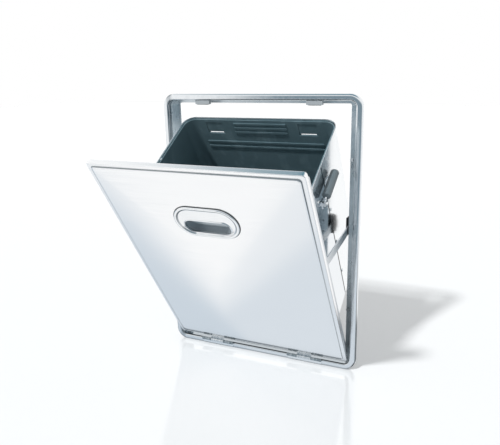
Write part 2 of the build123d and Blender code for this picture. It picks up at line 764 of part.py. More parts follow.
# Base pressed as a shallow pan inside the walls
with BuildPart() as bin_base:
    with BuildSketch(level_plane(bin_foot)):
        with Locations((0, bin_middle)):
            RectangleRounded(bin_width - 2 * bin_sheet, bin_depth - 2 * bin_sheet, bin_corner - bin_sheet)
    extrude(amount=bin_base_upstand)
    with BuildSketch(level_plane(bin_foot + bin_sheet)):
        with Locations((0, bin_middle)):
            RectangleRounded(bin_width - 4 * bin_sheet, bin_depth - 4 * bin_sheet, bin_corner - 2 * bin_sheet)
    extrude(amount=bin_base_upstand - bin_sheet, mode=Mode.SUBTRACT)
finish(bin_base, "bin_base")

# Rolled rim on the top edge of the walls
with BuildPart() as bin_rim:
    with BuildSketch(level_plane(shell_top)):
        with Locations((0, bin_middle)):
            RectangleRounded(bin_width + 2 * bin_rim_lap, bin_depth + 2 * bin_rim_lap,
                             bin_corner + bin_rim_lap)
            RectangleRounded(bin_width - 2 * (bin_sheet + bin_rim_lap),
                             bin_depth - 2 * (bin_sheet + bin_rim_lap),
                             bin_corner - bin_sheet - bin_rim_lap, mode=Mode.SUBTRACT)
    extrude(amount=bin_rim_height)
    rim_top = bin_rim.faces().sort_by(Axis(door_foot, up_door))[-1]
    fillet(rim_top.edges(), radius=bin_rim_round)
finish(bin_rim, "bin_rim")

# Strips that back the side seams and fill them with a rib, and the rivets through them
strip_foot = bin_foot + bin_base_upstand
strip_top = bin_top - seam_strip_drop
strip_outside = bin_side - bin_sheet
for side, sign in sides.items():
    with BuildPart() as seam_strip:
        with BuildSketch(side_plane(sign * strip_outside)):
            with Locations((bin_seam, (strip_foot + strip_top) / 2)):
                Rectangle(seam_strip_width, strip_top - strip_foot)
        extrude(amount=-sign * seam_strip_sheet)
        with BuildSketch(side_plane(sign * strip_outside)):
            with Locations((bin_seam, (strip_foot + strip_top) / 2)):
                Rectangle(bin_seam_gap - 2 * fastener_fit, strip_top - strip_foot)
        extrude(amount=sign * (bin_sheet - seam_rib_recess))
        with BuildSketch(side_plane(sign * strip_outside)):
            with Locations(seam_rivet_places):
                Circle(seam_rivet_hole)
        extrude(amount=-sign * seam_strip_sheet, mode=Mode.SUBTRACT)
    finish(seam_strip, f"seam_strip_{side}")

with BuildPart() as seam_rivets:
    for sign in sides.values():
        with BuildSketch(side_plane(sign * (strip_outside - seam_strip_sheet))):
            with Locations(seam_rivet_places):
                Circle(seam_rivet / 2)
        extrude(amount=sign * (bin_sheet + seam_strip_sheet))
        with BuildSketch(side_plane(sign * bin_side)):
            with Locations(seam_rivet_places):
                Circle(seam_rivet_head / 2)
        extrude(amount=sign * seam_rivet_head_thick)
finish(seam_rivets, "seam_rivets")

# Plastic liner: a tub with ribs, bands and two recesses with slots in its back wall
liner_side = bin_side - bin_sheet - liner_gap
liner_front = bin_front + bin_sheet + liner_gap
liner_back = bin_back - bin_sheet - liner_gap
liner_foot = bin_foot + bin_sheet + liner_floor_gap
liner_top = bin_top - liner_below_rim
liner_corner = bin_corner - bin_sheet - liner_gap
liner_inside_back = liner_back - liner_wall
liner_rib_length = 2 * (bin_slot_x - liner_recess_width / 2 - liner_rib_gap)
liner_band_length = bin_width - 2 * liner_band_inset
with BuildPart() as liner_hollow:
    with BuildSketch(level_plane(liner_foot + liner_floor)):
        with Locations((0, bin_middle)):
            RectangleRounded(2 * (liner_side - liner_wall), liner_inside_back - liner_front - liner_wall,
                             liner_corner - liner_wall)
    extrude(amount=liner_top - liner_foot - liner_floor)
    hollow_floor = liner_hollow.faces().sort_by(Axis(door_foot, up_door))[0]
    fillet(hollow_floor.edges(), radius=liner_floor_round - liner_wall)

with BuildPart() as liner:
    with BuildSketch(level_plane(liner_foot)):
        with Locations((0, bin_middle)):
            RectangleRounded(2 * liner_side, liner_back - liner_front, liner_corner)
    extrude(amount=liner_top - liner_foot)
    liner_bottom = liner.faces().sort_by(Axis(door_foot, up_door))[0]
    fillet(liner_bottom.edges(), radius=liner_floor_round)
    add(liner_hollow.part, mode=Mode.SUBTRACT)
    with BuildSketch(door_plane(liner_inside_back)):
        for step in range(liner_rib_count):
            with Locations((0, bin_top - liner_rib_drop - step * liner_rib_pitch)):
                SlotOverall(liner_rib_length, liner_rib_height)
        for step in range(liner_band_count):
            with Locations((0, bin_top - liner_band_drop - step * liner_band_pitch)):
                SlotOverall(liner_band_length, liner_rib_height)
    extrude(amount=liner_rib_proud)
    recess_middle = bin_slot_middle - bin_slot_height / 2 + liner_recess_height / 2
    with BuildSketch(door_plane(liner_inside_back)):
        with Locations((-bin_slot_x, recess_middle), (bin_slot_x, recess_middle)):
            Rectangle(liner_recess_width, liner_recess_height)
    extrude(amount=-liner_recess_depth, mode=Mode.SUBTRACT)
    with BuildSketch(door_plane(liner_inside_back)):
        with Locations(bin_slot_places):
            Rectangle(bin_slot_width, bin_slot_height)
    extrude(amount=-liner_wall, mode=Mode.SUBTRACT)
finish(liner, "liner")

# Bail handles: wire bails with thick grips, turning in eyes on the sides of the bin
bail_height = bin_top - bail_drop
bail_middle = bin_seam + bail_behind_seam
lug_place = bail_span / 2 - bail_stub + lug_length / 2
eye_radius = bail_wire / 2 + running_fit
for side, sign in sides.items():
    wall_x = sign * bin_side
    pivot_x = sign * (bin_side + bail_stand)
    with BuildPart() as lugs:
        with BuildSketch(side_plane(wall_x)):
            with Locations((bail_middle - lug_place, bail_height), (bail_middle + lug_place, bail_height)):
                Rectangle(lug_plate_width, lug_plate_height)
        extrude(amount=sign * lug_plate_sheet)
        for end in (-1, 1):
            eye_start = bail_middle + end * lug_place - lug_length / 2
            eye_plane = Plane(origin=door_point(pivot_x, bail_height, eye_start),
                              x_dir=across, z_dir=into_door)
            with BuildSketch(eye_plane):
                Circle(lug_eye / 2)
                with Locations((-sign * bail_stand / 2, 0)):
                    Rectangle(bail_stand, lug_eye)
                Circle(eye_radius, mode=Mode.SUBTRACT)
            extrude(amount=lug_length)
    finish(lugs, f"bail_lugs_{side}")

    lean = math.atan2(bail_lean, bail_rise)
    up_bail = math.cos(lean) * up_door + sign * math.sin(lean) * across
    bail_origin = door_point(pivot_x, bail_height, bail_middle)
    bail_plane = Plane(origin=bail_origin, x_dir=into_door, z_dir=into_door.cross(up_bail))
    bail_leg = math.hypot(bail_rise, bail_lean)
    half = bail_span / 2
    with BuildPart() as bail:
        with BuildLine(bail_plane) as wire_path:
            FilletPolyline((-half + bail_stub, 0), (-half, 0), (-half, bail_leg), (half, bail_leg),
                           (half, 0), (half - bail_stub, 0), radius=bail_bend)
        with BuildSketch(Plane(origin=wire_path.line @ 0, z_dir=wire_path.line % 0)):
            Circle(bail_wire / 2)
        sweep(path=wire_path.line)
    finish(bail, f"bail_{side}")

    grip_start = bail_origin + bail_leg * up_bail - grip_length / 2 * into_door
    with BuildPart() as grip:
        with BuildSketch(Plane(origin=grip_start, x_dir=across, z_dir=into_door)):
            Circle(grip_size / 2)
        extrude(amount=grip_length)
        fillet(grip.edges().filter_by(GeomType.CIRCLE), radius=grip_round)
        with BuildSketch(Plane(origin=grip_start, x_dir=across, z_dir=into_door)):
            Circle(eye_radius)
        extrude(amount=grip_length, mode=Mode.SUBTRACT)
    finish(grip, f"bail_grip_{side}")
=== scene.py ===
# %% [markdown]
# # A tilt-out waste bin
# The real unit is folded stainless sheet: a trim frame for a wall opening, a door hinged at its foot,
# and a bin with a plastic liner that rides behind the door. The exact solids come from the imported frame.
# This lesson dresses them: it keeps the solids that are already right, gives each a finish made of nodes,
# and adds the pressed and domed forms that catch the light.

# %% Load the frame
import json
import math

import bmesh
import bpy
import numpy as np
from mathutils import Matrix, Vector


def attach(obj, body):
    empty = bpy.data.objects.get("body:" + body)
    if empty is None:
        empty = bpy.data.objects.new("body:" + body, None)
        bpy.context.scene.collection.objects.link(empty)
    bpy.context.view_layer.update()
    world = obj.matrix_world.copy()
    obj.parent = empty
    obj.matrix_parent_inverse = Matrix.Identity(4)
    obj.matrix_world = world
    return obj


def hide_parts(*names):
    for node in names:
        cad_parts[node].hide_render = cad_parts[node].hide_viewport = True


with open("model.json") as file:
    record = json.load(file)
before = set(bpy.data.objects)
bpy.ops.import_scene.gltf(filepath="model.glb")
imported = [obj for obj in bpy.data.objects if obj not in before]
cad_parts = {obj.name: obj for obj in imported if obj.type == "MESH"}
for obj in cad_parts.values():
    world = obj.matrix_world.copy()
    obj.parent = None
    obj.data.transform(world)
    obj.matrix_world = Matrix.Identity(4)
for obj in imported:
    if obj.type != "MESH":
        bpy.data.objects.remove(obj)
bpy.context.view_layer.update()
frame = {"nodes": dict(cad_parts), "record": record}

# %% [markdown]
# ## Where the door is
# The door leans out, so most of its pieces are easiest to describe on the door itself: across it, up it
# from its foot, and behind its face. One hinge line from the record and the lean angle give that place.
# Working out each point by hand in the room's axes would also do, but a small helper keeps it readable.

# %% Door places
joints = {joint["name"]: joint for joint in frame["record"]["behaviour"]["joints"]}
HINGE_LINE = np.array(joints["door_close"]["pos_m"])
LEAN = math.radians(32.0)
ACROSS = np.array([1.0, 0.0, 0.0])
UP_DOOR = np.array([0.0, -math.sin(LEAN), math.cos(LEAN)])
INTO_DOOR = np.array([0.0, math.cos(LEAN), math.sin(LEAN)])
FOOT_ABOVE_HINGE, FOOT_BEHIND_HINGE = 0.007, 0.0045
DOOR_FOOT = HINGE_LINE + FOOT_ABOVE_HINGE * UP_DOOR + FOOT_BEHIND_HINGE * INTO_DOOR
DOOR_WIDE, DOOR_TALL = 0.470, 0.623


def on_door(across, up, behind):
    """Points of the room from places on the door: foot + across, up and behind times the door's own axes."""
    across, up, behind = np.broadcast_arrays(across, up, behind)
    return DOOR_FOOT + across[..., None] * ACROSS + up[..., None] * UP_DOOR + behind[..., None] * INTO_DOOR


print("door foot", DOOR_FOOT.round(4), "top", on_door(0.0, DOOR_TALL, 0.0).round(4))

# %% [markdown]
# ## Camera
# The photograph looks down a little from the front right. A camera fitted to the trim's corners gives its
# place, its turn and its lens. It could be aimed with a Track To constraint, but the fitted axes hold the
# small roll as well.

# %% Camera
CAMERA_PLACE = (0.5316, -1.2333, 0.7368)
CAMERA_TURN, CAMERA_TILT, CAMERA_ROLL = (math.radians(a) for a in (24.3621, 15.7621, -1.3289))
SENSOR_WIDE, FOCAL_LENGTH, NEAREST_SEEN = 36.0, 40.04, 0.01


def camera_axes(turn, tilt, roll):
    """Right, up and back of a camera turned about the upright, tilted down and then rolled about its view."""
    back = np.array([math.sin(turn) * math.cos(tilt), -math.cos(turn) * math.cos(tilt), math.sin(tilt)])
    right = np.array([math.cos(turn), math.sin(turn), 0.0])
    up = np.cross(back, right)
    return (math.cos(roll) * right + math.sin(roll) * up, math.cos(roll) * up - math.sin(roll) * right, back)


right, up, back = camera_axes(CAMERA_TURN, CAMERA_TILT, CAMERA_ROLL)
lens = bpy.data.cameras.new("camera")
lens.sensor_width = SENSOR_WIDE
lens.lens = FOCAL_LENGTH
lens.clip_start = NEAREST_SEEN
camera = bpy.data.objects.new("camera", lens)
camera.matrix_world = Matrix([(*axis, 0.0) for axis in (right, up, back)] + [(0, 0, 0, 1)]).transposed()
camera.location = CAMERA_PLACE
bpy.context.scene.collection.objects.link(camera)
bpy.context.scene.camera = camera
bpy.context.scene.view_settings.view_transform = "Standard"
print("camera looks along", tuple(round(-float(a), 3) for a in back))

# %% [markdown]
# ## Helpers for nodes
# Each finish is a small tree of nodes. A helper that adds one node and fills its sockets keeps a finish
# to a few lines, where the bare calls would need a line for every socket.

# %% Node helpers


def add_node(tree, kind, sockets=None, **settings):
    """One node of that kind, with its settings, and its sockets given a value or linked to an output."""
    node = tree.nodes.new(kind)
    for key, value in settings.items():
        setattr(node, key, value)
    for key, value in (sockets or {}).items():
        if isinstance(value, bpy.types.NodeSocket):
            tree.links.new(value, node.inputs[key])
        else:
            node.inputs[key].default_value = value
    return node


def combine(tree, operation, first, *others):
    """Math nodes that take the values one after another, as a product or the largest of them does."""
    for other in others:
        first = add_node(tree, "ShaderNodeMath", {0: first, 1: other}, operation=operation).outputs[0]
    return first


def tint(tree, factor, first, second):
    """A colour that runs from first to second with a factor; each is a colour or another node's output."""
    mix = add_node(tree, "ShaderNodeMix", {"Factor": factor}, data_type="RGBA")
    for socket, colour in (("A", first), ("B", second)):
        if isinstance(colour, bpy.types.NodeSocket):
            tree.links.new(colour, mix.inputs[socket])
        else:
            mix.inputs[socket].default_value = (*colour, 1.0)
    return mix.outputs["Result"]


print("node helpers", [helper.__name__ for helper in (add_node, combine, tint)])

# %% [markdown]
# ## Helpers for ranges
# Noise and places on a piece have to be turned into the numbers that a finish needs. A straight range does
# for noise. Where a finish changes along a piece, a smooth step leaves no visible line at its ends.

# %% Range helpers


def spread(tree, value, low, high, start=0.35, end=0.65):
    """A straight range: the value's start becomes low and its end becomes high. Noise mostly stays between
    0.35 and 0.65."""
    return add_node(tree, "ShaderNodeMapRange", {"Value": value, "From Min": start, "From Max": end,
                                                 "To Min": low, "To Max": high}).outputs["Result"]


def fade(tree, value, clear_at, full_at):
    """A smooth step of a value, from 0 at clear_at to 1 at full_at."""
    return add_node(tree, "ShaderNodeMapRange", {"Value": value, "From Min": clear_at, "From Max": full_at,
                                                 "To Min": 0.0, "To Max": 1.0},
                    interpolation_type="SMOOTHSTEP").outputs["Result"]


print("range helpers", [helper.__name__ for helper in (spread, fade)])

# %% [markdown]
# ## Helpers for finishes
# A finish starts from one shader. Its colour, its roughness and a fine relief all come from noise on the
# piece's own place, so a pattern stays on the piece when it moves. Generated coordinates would stretch the
# noise to the piece's box, and long pieces would get long grain.

# %% Finish helpers


def new_finish(name, **sockets):
    """A node material with its main shader, whose plain sockets are set by name."""
    finish = bpy.data.materials.new(name)
    finish.use_nodes = True
    shader = finish.node_tree.nodes["Principled BSDF"]
    for key, value in sockets.items():
        shader.inputs[key.replace("_", " ")].default_value = value
    print("finish", name)
    return finish, finish.node_tree, shader


def own_place(tree):
    """Where a point is on the piece, as an output for X, Y and Z."""
    place = add_node(tree, "ShaderNodeTexCoord").outputs["Object"]
    return add_node(tree, "ShaderNodeSeparateXYZ", {"Vector": place}).outputs


def noise(tree, size, detail=3.0, scale=(1.0, 1.0, 1.0), turn=(0.0, 0.0, 0.0)):
    """Noise on the piece's own place; scale stretches it, so a small number draws it out along that axis."""
    place = add_node(tree, "ShaderNodeTexCoord").outputs["Object"]
    laid = add_node(tree, "ShaderNodeMapping", {"Vector": place, "Scale": scale, "Rotation": turn})
    return add_node(tree, "ShaderNodeTexNoise", {"Vector": laid.outputs["Vector"], "Scale": size,
                                                 "Detail": detail}).outputs["Fac"]


def coat(tree, shader, colour, roughness, height, strength, distance):
    """Link a colour and a roughness, and let a height shade the surface as if it stood up by that distance."""
    bump = add_node(tree, "ShaderNodeBump", {"Height": height, "Strength": strength, "Distance": distance})
    tree.links.new(colour, shader.inputs["Base Color"])
    tree.links.new(roughness, shader.inputs["Roughness"])
    tree.links.new(bump.outputs["Normal"], shader.inputs["Normal"])


print("finish helpers", [helper.__name__ for helper in (new_finish, own_place, noise, coat)])

# %% [markdown]
# ## Room
# The unit was photographed in a white room. The room is white where the camera looks at it, and greyer behind
# the camera and overhead where the metal looks at it, as a real studio is; without that the metal would have
# nothing to show its shape with. Grey cards could stand round the unit instead, but they would shade it too.

# %% Room walls
WHITE = (1.0, 1.0, 1.0)
CEILING_BLUE, WALL_GREY = (0.06, 0.185, 0.255), (0.225, 0.29, 0.335)
world = bpy.data.worlds.new("room")
bpy.context.scene.world = world
world.use_nodes = True
room = world.node_tree
room.nodes.clear()
look = add_node(room, "ShaderNodeTexCoord").outputs["Generated"]
look_way = add_node(room, "ShaderNodeSeparateXYZ", {"Vector": look}).outputs
front = fade(room, look_way["Y"], 0.05, -0.55)
low = fade(room, look_way["Z"], 0.62, 0.18)
right_of_lamp = fade(room, look_way["X"], -0.47, -0.36)
behind_camera = combine(room, "MULTIPLY", front, low, right_of_lamp)
overhead = fade(room, look_way["Z"], 0.66, 1.0)
ceiling = combine(room, "MULTIPLY", overhead, fade(room, look_way["X"], -0.60, -0.44))
walls = tint(room, behind_camera, tint(room, ceiling, WHITE, CEILING_BLUE), WALL_GREY)
print("room walls", len(room.nodes), "nodes")

# %% [markdown]
# ## Light
# The room lights the unit softly from all sides. One lamp at the front left throws the shadow back to the
# right, and its way is read from that shadow. A sun lamp keeps the shadow's edges parallel, as a lamp far off
# does, and a small angle softens them.

# %% Light
SOFT_LIGHT, SOFT_STRENGTH = (0.94, 0.98, 1.0, 1.0), 0.38
LAMP_STRENGTH, LAMP_ANGLE, LAMP_WAY = 2.5, math.radians(4.5), Vector((0.231, 0.633, -0.739))
path = add_node(room, "ShaderNodeLightPath").outputs
shiny = combine(room, "MAXIMUM", path["Is Glossy Ray"], path["Is Transmission Ray"])
white_room = add_node(room, "ShaderNodeBackground", {"Color": (*WHITE, 1.0), "Strength": 1.0})
seen_in_metal = add_node(room, "ShaderNodeBackground", {"Color": walls, "Strength": 1.0})
soft_fill = add_node(room, "ShaderNodeBackground", {"Color": SOFT_LIGHT, "Strength": SOFT_STRENGTH})
lit = add_node(room, "ShaderNodeMixShader", {0: shiny, 1: soft_fill.outputs[0], 2: seen_in_metal.outputs[0]})
shown = add_node(room, "ShaderNodeMixShader", {0: path["Is Camera Ray"], 1: lit.outputs[0],
                                               2: white_room.outputs[0]})
add_node(room, "ShaderNodeOutputWorld", {"Surface": shown.outputs[0]})
sun = bpy.data.lights.new("key_lamp", "SUN")
sun.energy = LAMP_STRENGTH
sun.angle = LAMP_ANGLE
key_lamp = bpy.data.objects.new("key_lamp", sun)
key_lamp.rotation_euler = LAMP_WAY.to_track_quat("-Z", "Y").to_euler()
key_lamp.visible_glossy = False
bpy.context.scene.collection.objects.link(key_lamp)
print("lamp", key_lamp.name, "shines along", tuple(round(a, 3) for a in LAMP_WAY))

# %% [markdown]
# ## Floor
# The floor is a glossy white sheet that shows a pale image of the unit. It ends half a metre in front of the
# unit, so the metal sees the room's grey beyond it. One large quad is enough, because the floor is flat.

# %% Floor sheet
FLOOR_FRONT, FLOOR_FAR, FLOOR_LEVEL = -0.85, 9.0, -0.0004
floor_mesh = bpy.data.meshes.new("floor")
floor_mesh.from_pydata([(-FLOOR_FAR, FLOOR_FRONT, FLOOR_LEVEL), (FLOOR_FAR, FLOOR_FRONT, FLOOR_LEVEL),
                        (FLOOR_FAR, FLOOR_FAR, FLOOR_LEVEL), (-FLOOR_FAR, FLOOR_FAR, FLOOR_LEVEL)], [],
                       [(0, 1, 2, 3)])
floor = bpy.data.objects.new("floor", floor_mesh)
bpy.context.scene.collection.objects.link(floor)
floor_finish, floor_tree, floor_shader = new_finish("white_floor", Base_Color=(0.88, 0.895, 0.905, 1.0),
                                                    Roughness=0.09, IOR=2.3)
floor.data.materials.append(floor_finish)
print("floor from", FLOOR_FRONT, "to", FLOOR_FAR)

# %% [markdown]
# ## Greys on the floor
# A large flat door shows little but the floor in front of it. Soft grey bands on the floor, seen only in the
# metal, give the door its slow changes of grey, and the floor under the unit is dark there, as it is in its
# own shade. The bands could be cards on the floor, but soft steps of a place have no edges.

# %% Floor greys
BAND_BLUE, SHADE_GREY = (0.0, 0.18, 0.355), (0.05, 0.07, 0.085)
floor_place = own_place(floor_tree)


def floor_band(value, clear_at, full_at, depth):
    """A soft step of a value on the floor: nothing at clear_at, and as much grey as depth at full_at."""
    return combine(floor_tree, "MULTIPLY", fade(floor_tree, value, clear_at, full_at), depth)


def slanting(share):
    """A number that is the same along slanting lines of the floor: x less y, plus a share of y."""
    return combine(floor_tree, "ADD", combine(floor_tree, "SUBTRACT", floor_place["X"], floor_place["Y"]),
                   combine(floor_tree, "MULTIPLY", floor_place["Y"], share))


left_grey = floor_band(slanting(-0.65), clear_at=0.11, full_at=-0.04, depth=0.38)
cross_grey = floor_band(slanting(2.0), clear_at=-0.33, full_at=-0.17, depth=0.29)
right_grey = floor_band(slanting(1.5), clear_at=-0.28, full_at=-0.17, depth=0.15)
far_grey = floor_band(floor_place["Y"], clear_at=-0.66, full_at=-0.85, depth=0.70)
under_front = floor_band(floor_place["Y"], clear_at=-0.028, full_at=0.0, depth=0.85)
under_grey = combine(floor_tree, "MULTIPLY", under_front, fade(floor_tree, floor_place["Y"], 0.34, 0.22))
in_front = fade(floor_tree, floor_place["Y"], 0.10, -0.02)
soft_greys = combine(floor_tree, "MAXIMUM", left_grey, cross_grey, right_grey)
banded = tint(floor_tree, combine(floor_tree, "MULTIPLY", soft_greys, in_front), WHITE, BAND_BLUE)
sweep = tint(floor_tree, combine(floor_tree, "MAXIMUM", far_grey, under_grey), banded, SHADE_GREY)
print("floor greys", len(floor_tree.nodes), "nodes")

# %% [markdown]
# ## How the floor is seen
# The camera sees the plain white floor, lifted slightly so that it fades into the white room. Metal sees the
# greys instead, and sees them more weakly after two reflections.

# %% Floor looks
CAMERA_LIFT, SECOND_LOSS = 0.11, 0.30
floor_path = add_node(floor_tree, "ShaderNodeLightPath").outputs
floor_shiny = combine(floor_tree, "MAXIMUM", floor_path["Is Glossy Ray"], floor_path["Is Transmission Ray"])
lifted = combine(floor_tree, "MULTIPLY", floor_path["Is Camera Ray"], CAMERA_LIFT)
glow = add_node(floor_tree, "ShaderNodeEmission", {"Color": (*WHITE, 1.0), "Strength": lifted})
plain_floor = add_node(floor_tree, "ShaderNodeAddShader", {0: floor_shader.outputs[0], 1: glow.outputs[0]})
seen_twice = fade(floor_tree, floor_path["Glossy Depth"], 1.0, 2.0)
weaker = combine(floor_tree, "SUBTRACT", 1.0, combine(floor_tree, "MULTIPLY", seen_twice, SECOND_LOSS))
in_metal = add_node(floor_tree, "ShaderNodeEmission", {"Color": sweep, "Strength": weaker})
floor_look = add_node(floor_tree, "ShaderNodeMixShader", {0: floor_shiny, 1: plain_floor.outputs[0],
                                                          2: in_metal.outputs[0]})
floor_tree.links.new(floor_look.outputs[0], floor_tree.nodes["Material Output"].inputs["Surface"])
print("floor finish", len(floor_tree.nodes), "nodes")

# %% [markdown]
# ## Satin steel of the door
# The door's face is stainless sheet with a fine satin finish. Long thin streaks of noise, drawn out along
# the sheet, change the roughness a little and stand up by a hundredth of a millimetre at most. A grain drawn
# by an image would repeat; noise on the piece's own place does not. The small step round the raised middle
# is painted dark, most towards the top: painted shade for the shadow and dark reflection in the step. The
# finish reads where the step is from the mesh.

# %% Satin steel
satin, tree, shader = new_finish("satin_steel", Metallic=1.0)
streaks = noise(tree, 420.0, scale=(0.02, 1.0, 1.0))
cloud = noise(tree, 5.0, detail=2.0)
clean = tint(tree, cloud, (0.965, 0.978, 0.99), (0.985, 0.993, 1.0))
# Painted shade: the step round the raised middle is darkened, most towards the top.
in_step = add_node(tree, "ShaderNodeAttribute", attribute_name="in_step").outputs["Fac"]
towards_top = spread(tree, own_place(tree)["Z"], 0.22, 1.0, start=0.30, end=0.50)
step_painted_shade = combine(tree, "MULTIPLY", in_step, towards_top)
coat(tree, shader, tint(tree, step_painted_shade, clean, (0.27, 0.30, 0.32)), spread(tree, streaks, 0.19, 0.27),
     streaks, strength=0.06, distance=0.00001)

# %% [markdown]
# ## Buffed steel of the trim
# The trim is the same sheet, buffed smoother after its corners were closed. It has fainter marks and a lower
# roughness, so that its rounded edges draw thin bright and dark lines. The sill under the door is painted
# greyer, with a dark line along its front: painted shade for the narrow gap under the door. The inner side
# of the left stile is painted darker, with dark streaks that run up it, as painted shade. Both places are
# picked out by smooth steps of the point's place, where a second material would leave a hard edge.

# %% Buffed steel
SILL_FRONT, SILL_BACK = (-0.0140, -0.0120), (-0.0100, -0.0080)
SILL_BELOW, SILL_ABOVE = (0.010, 0.0135), (0.026, 0.018)
STILE_OUTSIDE, STILE_INSIDE, STILE_FRONT = (-0.2450, -0.2415), (-0.226, -0.232), (-0.0155, -0.0125)
buffed, tree, shader = new_finish("buffed_steel", Metallic=1.0)
rub = noise(tree, 90.0)
cloud = noise(tree, 7.0, detail=2.0)
place = own_place(tree)
clean = tint(tree, cloud, (0.80, 0.835, 0.86), (0.87, 0.895, 0.915))
greyed = tint(tree, cloud, (0.50, 0.545, 0.58), (0.56, 0.605, 0.64))
# Painted shade on the sill: dark along its front, greyer behind.
sill = tint(tree, fade(tree, place["Y"], *SILL_BACK), (0.055, 0.070, 0.078), greyed)
on_sill = combine(tree, "MULTIPLY", fade(tree, place["Y"], *SILL_FRONT), fade(tree, place["Z"], *SILL_BELOW),
                  fade(tree, place["Z"], *SILL_ABOVE))
runs = spread(tree, noise(tree, 420.0, detail=2.0, scale=(1.0, 1.0, 0.03)), 0.0, 1.0)
# Painted shade on the inner side of the left stile, in dark streaks that run up it.
stile_painted_shade = tint(tree, runs, (0.10, 0.13, 0.15), (0.46, 0.50, 0.53))
in_left = combine(tree, "MULTIPLY", fade(tree, place["X"], *STILE_OUTSIDE),
                  fade(tree, place["X"], *STILE_INSIDE), fade(tree, place["Y"], *STILE_FRONT))
trim_colour = tint(tree, in_left, tint(tree, on_sill, clean, sill), stile_painted_shade)
coat(tree, shader, trim_colour, spread(tree, rub, 0.11, 0.18), rub, strength=0.06, distance=0.00005)

# %% [markdown]
# ## Mill steel of hidden sheet
# The inner pan, tray, brackets and straps keep the dull finish that the sheet leaves the mill with: a soft
# grey with a faint mottle, and no direction.

# %% Mill steel
mill, tree, shader = new_finish("mill_steel", Metallic=1.0)
mottle = noise(tree, 160.0, detail=5.0)
cloud = noise(tree, 9.0)
coat(tree, shader, tint(tree, cloud, (0.70, 0.74, 0.77), (0.80, 0.83, 0.855)),
     spread(tree, mottle, 0.34, 0.48), mottle, strength=0.12, distance=0.00006)

# %% [markdown]
# ## Grey steel of the sleeve
# The sleeve in the wall and its stop lip are plain coated sheet, a little greyer than the trim. The coating
# has the soft spangle of zinc: cells of slightly different grey. It is painted darker towards the foot of
# the right side, as painted shade between the door and the jamb.

# %% Grey steel
SPANGLE_SIZE, FOOT_SHADE_GREY = 95.0, (0.145, 0.172, 0.188)
shaded, tree, shader = new_finish("grey_steel", Metallic=1.0)
sleeve_place = add_node(tree, "ShaderNodeTexCoord").outputs["Object"]
spangle = add_node(tree, "ShaderNodeTexVoronoi", {"Vector": sleeve_place, "Scale": SPANGLE_SIZE})
cells = add_node(tree, "ShaderNodeSeparateColor", {"Color": spangle.outputs["Color"]}).outputs["Red"]
clean = tint(tree, cells, (0.72, 0.775, 0.805), (0.82, 0.87, 0.895))
place = own_place(tree)
# Painted shade: darker towards the foot of the right side, and less so right at the sill.
low_down = fade(tree, place["Z"], 0.36, 0.02)
above_sill = spread(tree, place["Z"], 0.40, 1.0, start=0.022, end=0.034)
foot_painted_shade = combine(tree, "MULTIPLY", low_down, above_sill, fade(tree, place["X"], -0.20, -0.05))
coat(tree, shader, tint(tree, foot_painted_shade, clean, FOOT_SHADE_GREY), spread(tree, cells, 0.26, 0.38, start=0.0, end=1.0),
     noise(tree, 160.0, detail=4.0), strength=0.08, distance=0.00004)

# %% [markdown]
# ## Polished steel of the bin
# The front half of the bin is bright polished sheet, so it mirrors the handle and the frame. A wide, very
# shallow waviness bends those reflections as thin sheet does, and fine scuffs break the mirror up a little.

# %% Polished steel
polished, tree, shader = new_finish("polished_steel", Metallic=1.0)
wave = noise(tree, 9.0, detail=1.0)
scuff = noise(tree, 220.0, detail=6.0, scale=(1.0, 0.25, 1.0))
coat(tree, shader, tint(tree, wave, (0.84, 0.875, 0.905), (0.88, 0.91, 0.93)),
     spread(tree, scuff, 0.05, 0.11), wave, strength=0.12, distance=0.0010)

# %% [markdown]
# ## Brushed steel of the bin's back half
# The back half of the bin is finely brushed, so its reflections are a little softer. The brushing runs up it,
# and the bin leans with the door, so the streaks are turned by the same angle.

# %% Brushed steel
brushed, tree, shader = new_finish("brushed_steel", Metallic=1.0)
streaks = noise(tree, 260.0, detail=4.0, scale=(1.0, 1.0, 0.03), turn=(-LEAN, 0.0, 0.0))
cloud = noise(tree, 6.0, detail=2.0)
coat(tree, shader, tint(tree, cloud, (0.94, 0.97, 0.985), (0.97, 0.99, 1.0)),
     spread(tree, streaks, 0.14, 0.21), streaks, strength=0.06, distance=0.00002)

# %% [markdown]
# ## Bright fittings
# Rivets, wire, the bin's rim and the plate of the pull are small polished fittings, with fine turning and
# handling marks. The groove inside the pull's ring is painted dark, most at the top, as painted shade, and
# the finish reads where that is from the mesh.

# %% Bright fittings
bright, tree, shader = new_finish("bright_fittings", Metallic=1.0)
marks = noise(tree, 400.0, detail=5.0, scale=(0.2, 1.0, 1.0))
cloud = noise(tree, 30.0, detail=2.0)
clean = tint(tree, cloud, (0.84, 0.87, 0.895), (0.93, 0.945, 0.955))
# Painted shade in the groove inside the pull's ring, read from the mesh.
in_groove = add_node(tree, "ShaderNodeAttribute", attribute_name="in_groove").outputs["Fac"]
coat(tree, shader, tint(tree, in_groove, clean, (0.11, 0.135, 0.15)), spread(tree, marks, 0.09, 0.22),
     marks, strength=0.03, distance=0.00002)

# %% [markdown]
# ## Hinge steel
# The hinges are plain zinc-plated pressings, greyer than the trim they sit on. Rolling their knuckles leaves
# fine ribs across the barrel, so the noise is squeezed along the hinge and drawn out round it. The leaf on the
# rail was buffed together with the rail and is pale, and so was the door's own knuckle between the other two.

# %% Hinge steel
KNUCKLE_FOOT, LEAF_TOP, LEAF_PALE = 0.0135, 0.0115, (0.90, 0.925, 0.94)


